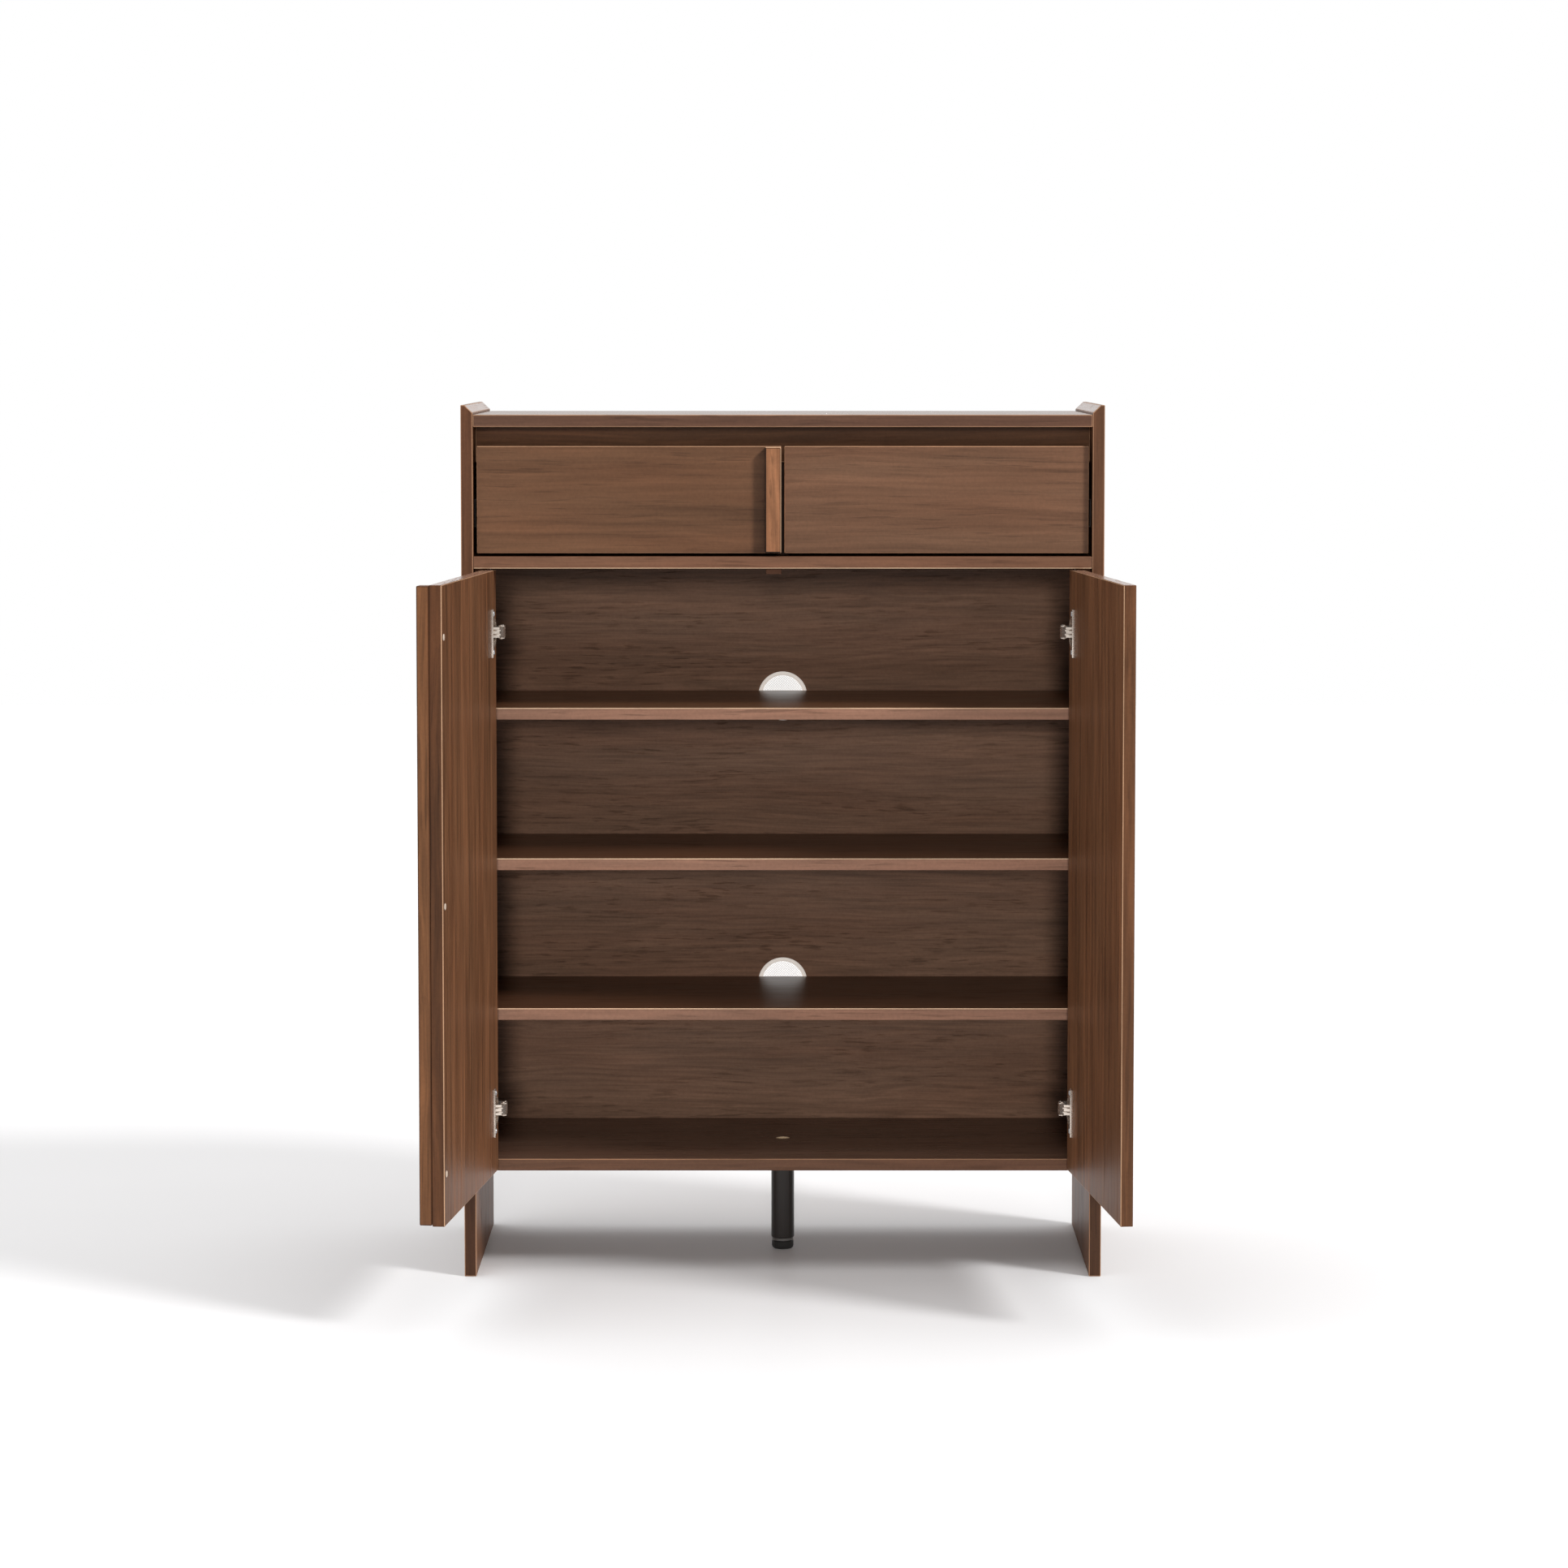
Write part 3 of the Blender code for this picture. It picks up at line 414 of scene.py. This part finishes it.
    # The bar's arrises that look right and up take a painted highlight. Its other arrises and its left side
    # take painted shade.
    handle_arris = plain("walnut_handle_arris_painted_highlight", "z", 21, ARRIS_DOOR_HIGHLIGHT)
    handle_side = plain("walnut_handle_side_painted_shade", "z", 22, WALNUT_PAINTED_SHADE)
    paint_board("drawer_handle", honey, handle_arris, handle_side, (-1, 0, 0), lit=(0.7, 0, 0.7))
    lining = {"rings": 0.08, "bands": 0.3, "streak": 0.08, "pore": 0.15, "gloss": 0.5}
    lining_y = wood("drawer_lining_y", "y", 22, LINING, **lining)
    lining_x = wood("drawer_lining_x", "x", 23, LINING, **lining)
    for side in SIDES:
        for part in ("side_left", "side_right", "bottom"):
            paint(f"drawer_{side}_{part}", lining_y)
        paint(f"drawer_{side}_back", lining_x)


NICKEL = metal("nickel", (0.82, 0.72, 0.63, 1.0), 0.26, metallic=0.85)
ZINC = metal("zinc", (0.60, 0.60, 0.61, 1.0), 0.36, brushed=(60.0, 30.0, 900.0), metallic=0.8)
BLACK_STEEL = plastic("black_steel", (0.018, 0.014, 0.012, 1.0), 0.40, grain=1600.0, relief=0.2)
BLACK_PLASTIC = plastic("black_plastic", (0.014, 0.013, 0.012, 1.0), 0.50)
CREAM = plastic("cream_plastic", (0.62, 0.50, 0.40, 1.0), 0.45, spread=0.06)
# A faint glow on the vent covers: painted light for the light behind the cabinet seen through them.
VENT_PAINTED_GLOW = {"Emission_Color": (1.0, 0.95, 0.90, 1.0), "Emission_Strength": 0.20}
VENT_RIM = plastic("vent_rim", (0.84, 0.76, 0.68, 1.0), 0.45, spread=0.05, **VENT_PAINTED_GLOW)
VENT_MESH = plastic("vent_mesh", (0.92, 0.89, 0.85, 1.0), 0.55, spread=0.05, **VENT_PAINTED_GLOW)
BROWN = plastic("brown_plastic", (0.080, 0.036, 0.021, 1.0), 0.5, Specular_IOR_Level=0.1)


def paint_fittings():
    paint("leg_tube", BLACK_STEEL)
    paint("leg_glide", BLACK_PLASTIC)
    paint("leg_stud", metal("dark_zinc", (0.30, 0.29, 0.28, 1.0), 0.3))
    paint("leg_bolt", ZINC)
    paint("door_stop", BROWN)
    for place in ("top", "middle", "bottom"):
        paint(f"handle_screw_{place}", CREAM)
    for side in SIDES:
        for level in LEVELS:
            for part in ("cup", "arm", "plate", "pin"):
                paint(f"hinge_{part}_{side}_{level}", NICKEL)
        for wall in SIDES:
            paint(f"runner_outer_{side}_{wall}", BLACK_STEEL)
            paint(f"runner_inner_{side}_{wall}", BLACK_STEEL)


# ---------------------------------------------------------------- added pieces

def piece_of(name, bm, finish, body, angle=35):
    bmesh.ops.recalc_face_normals(bm, faces=bm.faces[:])
    mesh = bpy.data.meshes.new(name)
    bm.to_mesh(mesh)
    bm.free()
    mesh.materials.append(finish)
    mesh.shade_smooth()
    mesh.set_sharp_from_angle(angle=math.radians(angle))
    made = bpy.data.objects.new(name, mesh)
    bpy.context.scene.collection.objects.link(made)
    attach(made, body)
    return made


def facing(way, place):
    """A matrix that stands a shape built up +Z on a place, pointing that way."""
    return Matrix.Translation(place) @ Vector(way).to_track_quat("Z", "Y").to_matrix().to_4x4()


def lathe(bm, profile, stand, steps=32, dents=()):
    """Turns (radius, height) points about the stand's +Z. Dents are (ring, spoke, drop) moves of points."""
    sunk = {(ring, spoke): drop for ring, spoke, drop in dents}
    rings = []
    for ring, (radius, height) in enumerate(profile):
        if radius == 0:
            low = height - sunk.get((ring, 0), 0)
            rings.append([bm.verts.new(stand @ Vector((0, 0, low)))] * steps)
            continue
        spokes = []
        for spoke in range(steps):
            turn = 2 * math.pi * spoke / steps
            low = height - sunk.get((ring, spoke), 0)
            place = Vector((radius * math.cos(turn), radius * math.sin(turn), low))
            spokes.append(bm.verts.new(stand @ place))
        rings.append(spokes)
    for below, above in zip(rings, rings[1:]):
        for spoke in range(steps):
            after = (spoke + 1) % steps
            corners = [below[spoke], below[after], above[after], above[spoke]]
            distinct = [corner for index, corner in enumerate(corners) if corner not in corners[:index]]
            if len(distinct) > 2:
                bm.faces.new(distinct)


def screw_head(bm, stand, radius, height, recess=0.0009):
    """A pan head with a cross recess."""
    profile = [
        (0, 0),
        (radius, 0),
        (radius, height * 0.45),
        (radius * 0.90, height * 0.80),
        (radius * 0.66, height * 0.97),
        (radius * 0.58, height),
        (radius * 0.16, height),
        (0, height),
    ]
    dents = [(7, 0, recess)]
    for spoke in (0, 8, 16, 24):
        dents += [(6, spoke, recess), (5, spoke, recess * 0.55)]
    lathe(bm, profile, stand, 32, dents)


def slab(bm, spans, stand=None):
    """A box between three (low, high) spans, with its edges eased."""
    made = bmesh.ops.create_cube(bm, size=1.0)["verts"]
    bmesh.ops.scale(bm, verts=made, vec=[high - low for low, high in spans])
    bmesh.ops.translate(bm, verts=made, vec=[(low + high) / 2 for low, high in spans])
    edges = list({edge for vert in made for edge in vert.link_edges})
    ease = min(high - low for low, high in spans) * 0.18
    eased = bmesh.ops.bevel(bm, geom=edges, offset=ease, segments=2, affect="EDGES", profile=0.5)
    if stand:
        moved = list({vert for face in eased["faces"] for vert in face.verts})
        bmesh.ops.transform(bm, matrix=stand, verts=moved)


VENT_MOUTH = 0.845
VENT_COLLAR = 0.895
GRILLE_CELL = 0.0023
GRILLE_STRAND = 0.0006
GRILLE_THICKNESS = 0.0007
GRILLE_DEPTH = 0.0034
GRILLE_OVERLAP = 0.0006


def make_vents():
    """Vent covers: a rounded rim on the inner face, a collar through the board and a woven grille."""
    for level in LEVELS:
        low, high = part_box(f"vent_{level}")
        centre = (low + high) / 2
        radius, depth = (high.x - low.x) / 2, high.y - low.y
        stand = facing((0, -1, 0), (centre.x, high.y, centre.z))
        mouth, collar = radius * VENT_MOUTH, radius * VENT_COLLAR
        rim = [
            (mouth, 0),
            (collar, 0),
            (collar, depth - 0.0019),
            (radius - 0.0002, depth - 0.0019),
            (radius, depth - 0.0014),
            (radius - 0.0004, depth - 0.0007),
            (radius - 0.0016, depth - 0.0001),
            (radius * 0.92, depth),
            (radius * 0.875, depth - 0.0003),
            (mouth + 0.0003, depth - 0.0010),
            (mouth, depth - 0.0016),
            (mouth, 0),
        ]
        bm = bmesh.new()
        lathe(bm, rim, stand, 96)
        bmesh.ops.remove_doubles(bm, verts=bm.verts[:], dist=1e-6)
        cover = piece_of(f"vent_rim_{level}", bm, VENT_RIM, "carcass", 50)
        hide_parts(f"vent_{level}")
        grille = bmesh.new()
        count = int(2 * mouth / GRILLE_CELL) + 6
        bmesh.ops.create_grid(grille, x_segments=count, y_segments=count, size=count * GRILLE_CELL / 2)
        bmesh.ops.rotate(grille, verts=grille.verts[:], matrix=Matrix.Rotation(math.pi / 4, 3, "Z"))
        holes = [face for face in grille.faces]
        bmesh.ops.inset_individual(grille, faces=holes, thickness=GRILLE_STRAND / 2, use_even_offset=True)
        reach = mouth + GRILLE_OVERLAP
        gone = [face for face in grille.faces if face in set(holes)]
        gone += [face for face in grille.faces if face.calc_center_median().length > reach]
        bmesh.ops.delete(grille, geom=list(set(gone)), context="FACES")
        stand = facing((0, -1, 0), (centre.x, high.y - depth + GRILLE_DEPTH, centre.z))
        bmesh.ops.transform(grille, matrix=stand, verts=grille.verts[:])
        web = piece_of(f"vent_grille_{level}", grille, VENT_MESH, "carcass")
        thick = web.modifiers.new("strand thickness", "SOLIDIFY")
        thick.thickness = GRILLE_THICKNESS
        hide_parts(f"vent_{level}")


def opened(side):
    """Where a point of the closed door is at rest."""
    joint = joints[f"door_{side}_swing"]
    pivot = Vector(joint["pos_m"])
    pivot.z = 0
    return Matrix.Translation(pivot) @ Matrix.Rotation(door_turn(side), 4, "Z") @ Matrix.Translation(-pivot)


# Hinge parts are placed by how far they reach inward from the side panel and back from its front edge.
LINK_RIVETS = ((0.0338, 0.0160, 0.0090, 0.0020), (0.0352, 0.0250, 0.0085, 0.0016))
RIVET_EASE = 0.0007
CHEEK_INWARD = (0.0305, 0.0378)
CHEEK_BACK = (0.0125, 0.0280)
CHEEK_LIFT = 0.0074
CHEEK_HALF = 0.0006
RIB_INWARD = (0.0245, 0.0335)
RIB_BACK = (0.0052, 0.0066)
RIB_LIFT = 0.0026
RIB_HALF = 0.0009
ARM_FACE = 0.0155
ARM_SCREWS = (0.0580, 0.0820)
WING_FACE = 0.0028
WING_SCREW_BACK = 0.059
WING_SCREW_LIFT = 0.0185
PLATE_SCREW_RADIUS = 0.0036
CUP_INWARD = 0.0250
DOOR_THICKNESS = 0.015
FLANGE_LIFT = 0.0001
FLANGE_HALF_HEIGHT = 0.0298
FLANGE = (0.0135, 0.0200, 0.0010)
FLANGE_LIP = (0.0186, 0.0206, 0.0036)
EAR_INWARD = 0.006
EAR_FACE = 0.0015
EAR_SCREW_LIFT = 0.024


def make_hinge_details():
    """Links, rivets, ribs, flanges and screws on the hinges."""
    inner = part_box("side_panel_right")[0].x
    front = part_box("side_panel_left")[0].y
    for side, sign in SIDES.items():
        def at(inward, back, z, sign=sign):
            return Vector((sign * (inner - inward), front + back, z))

        def within(inward, back, sign=sign):
            across = span(*(sign * (inner - reach) for reach in inward))
            return across, [front + reach for reach in back]

        for level in LEVELS:
            low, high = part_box(f"hinge_arm_{side}_{level}")
            z = (low.z + high.z) / 2
            bm = bmesh.new()
            for inward, back, reach, radius in LINK_RIVETS:
                pin = [(0, -reach), (radius * 0.7, -reach), (radius, -reach + RIVET_EASE)]
                pin += [(radius, reach - RIVET_EASE), (radius * 0.7, reach), (0, reach)]
                lathe(bm, pin, Matrix.Translation(at(inward, back, z)), 20)
            for turn in (-1, 1):
                cheek = z + turn * CHEEK_LIFT
                slab(bm, (*within(CHEEK_INWARD, CHEEK_BACK), (cheek - CHEEK_HALF, cheek + CHEEK_HALF)))
            for lift in (-RIB_LIFT, RIB_LIFT):
                slab(bm, (*within(RIB_INWARD, RIB_BACK), (z + lift - RIB_HALF, z + lift + RIB_HALF)))
            piece_of(f"hinge_link_{side}_{level}", bm, NICKEL, "carcass")

            bm = bmesh.new()
            for back in ARM_SCREWS:
                screw_head(bm, facing((-sign, 0, 0), at(ARM_FACE, back, z)), PLATE_SCREW_RADIUS, 0.0014)
            for lift in (-WING_SCREW_LIFT, WING_SCREW_LIFT):
                place = at(WING_FACE, WING_SCREW_BACK, z + lift)
                screw_head(bm, facing((-sign, 0, 0), place), PLATE_SCREW_RADIUS, 0.0016)
            piece_of(f"hinge_plate_screws_{side}_{level}", bm, ZINC, "carcass")

            bm = bmesh.new()
            cup_x = sign * (inner - CUP_INWARD)
            face = front + DOOR_THICKNESS + FLANGE_LIFT
            tall = (z - FLANGE_HALF_HEIGHT, z + FLANGE_HALF_HEIGHT)
            for near, far, proud in (FLANGE, FLANGE_LIP):
                across = span(cup_x - sign * near, cup_x - sign * far)
                slab(bm, (across, (face, face + proud), tall), opened(side))
            piece_of(f"hinge_flange_{side}_{level}", bm, NICKEL, f"door_{side}")

            bm = bmesh.new()
            for lift in (-EAR_SCREW_LIFT, EAR_SCREW_LIFT):
                place = (cup_x - sign * EAR_INWARD, front + DOOR_THICKNESS + EAR_FACE, z + lift)
                screw_head(bm, opened(side) @ facing((0, 1, 0), place), 0.0034, 0.0016)
            piece_of(f"hinge_cup_screws_{side}_{level}", bm, ZINC, f"door_{side}")


def span(first, second):
    return min(first, second), max(first, second)


RUNNER_SKIN = 0.0012
RUNNER_SCREWS = (0.035, 0.150, 0.265)
HANDLE_SCREW_SHARES = (0.22, 0.78)
TOUCH = 0.0001


def make_runner_details():
    """Screws in the cabinet members of the runners."""
    for side in SIDES:
        for wall, way in (("left", 1), ("right", -1)):
            low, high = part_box(f"runner_outer_{side}_{wall}")
            face = low.x + RUNNER_SKIN if way > 0 else high.x - RUNNER_SKIN
            z = (low.z + high.z) / 2
            bm = bmesh.new()
            for back in RUNNER_SCREWS:
                screw_head(bm, facing((way, 0, 0), (face, low.y + back, z)), 0.0034, 0.0012)
            piece_of(f"runner_screws_{side}_{wall}", bm, ZINC, "carcass")


def make_handle_screws():
    """Two screws through the drawer front that hold its bar."""
    low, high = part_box("drawer_handle")
    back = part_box("drawer_left_front")[1].y
    bm = bmesh.new()
    for share in HANDLE_SCREW_SHARES:
        place = ((low.x + high.x) / 2, back + TOUCH, low.z + share * (high.z - low.z))
        screw_head(bm, facing((0, 1, 0), place), 0.0040, 0.0016)
    piece_of("drawer_handle_screws", bm, ZINC, "drawer_left")


# ---------------------------------------------------------------- studio

FLOOR_HALF = 9.0
FLOOR_DROP = 0.0002
FLOOR_TONES = ((0.86, 0.855, 0.86, 1.0), (0.88, 0.875, 0.88, 1.0))
SKY_STRENGTH = 0.44
SKY_MIRRORED = {"From Min": -0.2, "From Max": 0.7, "To Min": 0.0, "To Max": 1.0}
LAMP_HEIGHT = 3

LENS = 105.5958
LENS_SHIFT = (0.000465, -0.066)
CAMERA_PLACE = (0.0007, -5.900, 1.1675)
CAMERA_TILT = 4.1637

# Azimuth, elevation and width in degrees, strength, and whether reflections show the lamp.
LAMPS = {
    "key": (56, 38, 13, 1.68, True),
    "front": (0, 7, 6, 1.38, False),
    "drawer_key": (56, 38, 7, 3.1, False),
    "rear": (180, 6, 8, 0.7, False),
    "overhead": (270, 84, 70, 1.5, True),
}
DRAWER_FACES = ("drawer_left_front", "drawer_right_front", "drawer_handle")


def make_floor():
    bm = bmesh.new()
    bmesh.ops.create_grid(bm, x_segments=4, y_segments=4, size=FLOOR_HALF)
    mesh = bpy.data.meshes.new("studio_floor")
    bm.to_mesh(mesh)
    bm.free()
    pale = Finish("studio_floor", Roughness=0.9, Specular_IOR_Level=0.0)
    cloud = pale.noise((1.5, 1.5, 1.5), detail=2.0)
    pale.feed("Base Color", pale.ramp(cloud, (0.3, FLOOR_TONES[0]), (0.7, FLOOR_TONES[1])))
    mesh.materials.append(pale.material)
    floor = bpy.data.objects.new("studio_floor", mesh)
    bpy.context.scene.collection.objects.link(floor)
    floor.location.z = -FLOOR_DROP


def make_light(name, azimuth, elevation, width, strength, glossy):
    """A soft distant lamp. Azimuth 0 is in front and 90 to the right. Width is the angle that it fills."""
    lamp = bpy.data.lights.new(name, "SUN")
    lamp.angle = math.radians(width)
    lamp.energy = strength
    made = bpy.data.objects.new(name, lamp)
    made.visible_glossy = glossy
    bpy.context.scene.collection.objects.link(made)
    made.location = (0, 0, LAMP_HEIGHT)
    turn, rise = math.radians(azimuth), math.radians(elevation)
    source = Vector((math.sin(turn) * math.cos(rise), -math.cos(turn) * math.cos(rise), math.sin(rise)))
    made.rotation_euler = source.to_track_quat("Z", "Y").to_euler()
    return made


def limit_light(lamp, nodes, state):
    """Keeps a lamp to the named nodes, or keeps it off them."""
    group = bpy.data.collections.new(f"{lamp.name}_nodes")
    for node in nodes:
        group.objects.link(frame["nodes"][node])
    for entry in group.collection_objects:
        entry.light_linking.link_state = state
    lamp.light_linking.receiver_collection = group


def make_world():
    """A sky that looks white, lights the room more softly and is mirrored brightly only from behind."""
    world = bpy.data.worlds.new("studio")
    bpy.context.scene.world = world
    world.use_nodes = True
    tree = world.node_tree
    sky = tree.nodes["Background"]
    way = tree.nodes.new("ShaderNodeTexCoord").outputs["Generated"]
    parts = tree.nodes.new("ShaderNodeSeparateXYZ")
    tree.links.new(way, parts.inputs[0])
    share = tree.nodes.new("ShaderNodeMapRange")
    share.interpolation_type = "SMOOTHSTEP"
    tree.links.new(parts.outputs["Y"], share.inputs["Value"])
    for socket, value in SKY_MIRRORED.items():
        share.inputs[socket].default_value = value
    path = tree.nodes.new("ShaderNodeLightPath")

    def math_node(operation, first, second):
        made = tree.nodes.new("ShaderNodeMath")
        made.operation = operation
        tree.links.new(first, made.inputs[0])
        if isinstance(second, float):
            made.inputs[1].default_value = second
        else:
            tree.links.new(second, made.inputs[1])
        return made.outputs[0]

    mirrored = math_node("MULTIPLY", path.outputs["Is Glossy Ray"], share.outputs["Result"])
    seen = math_node("MAXIMUM", path.outputs["Is Camera Ray"], mirrored)
    tree.links.new(math_node("MAXIMUM", seen, SKY_STRENGTH), sky.inputs["Strength"])
    sky.inputs["Color"].default_value = (1, 1, 1, 1)


def make_camera():
    lens = bpy.data.cameras.new("camera")
    lens.sensor_width = 36.0
    lens.lens = LENS
    lens.shift_x, lens.shift_y = LENS_SHIFT
    camera = bpy.data.objects.new("camera", lens)
    bpy.context.scene.collection.objects.link(camera)
    camera.location = CAMERA_PLACE
    camera.rotation_euler = (math.radians(90 - CAMERA_TILT), 0, 0)
    bpy.context.scene.camera = camera


def make_studio():
    make_floor()
    make_world()
    lamps = {name: make_light(name, *setting) for name, setting in LAMPS.items()}
    limit_light(lamps["front"], DRAWER_FACES, "EXCLUDE")
    limit_light(lamps["drawer_key"], DRAWER_FACES, "INCLUDE")
    make_camera()
    bpy.context.scene.view_settings.view_transform = "Standard"


paint_boards()
paint_fittings()
make_vents()
make_hinge_details()
make_runner_details()
make_handle_screws()
make_studio()
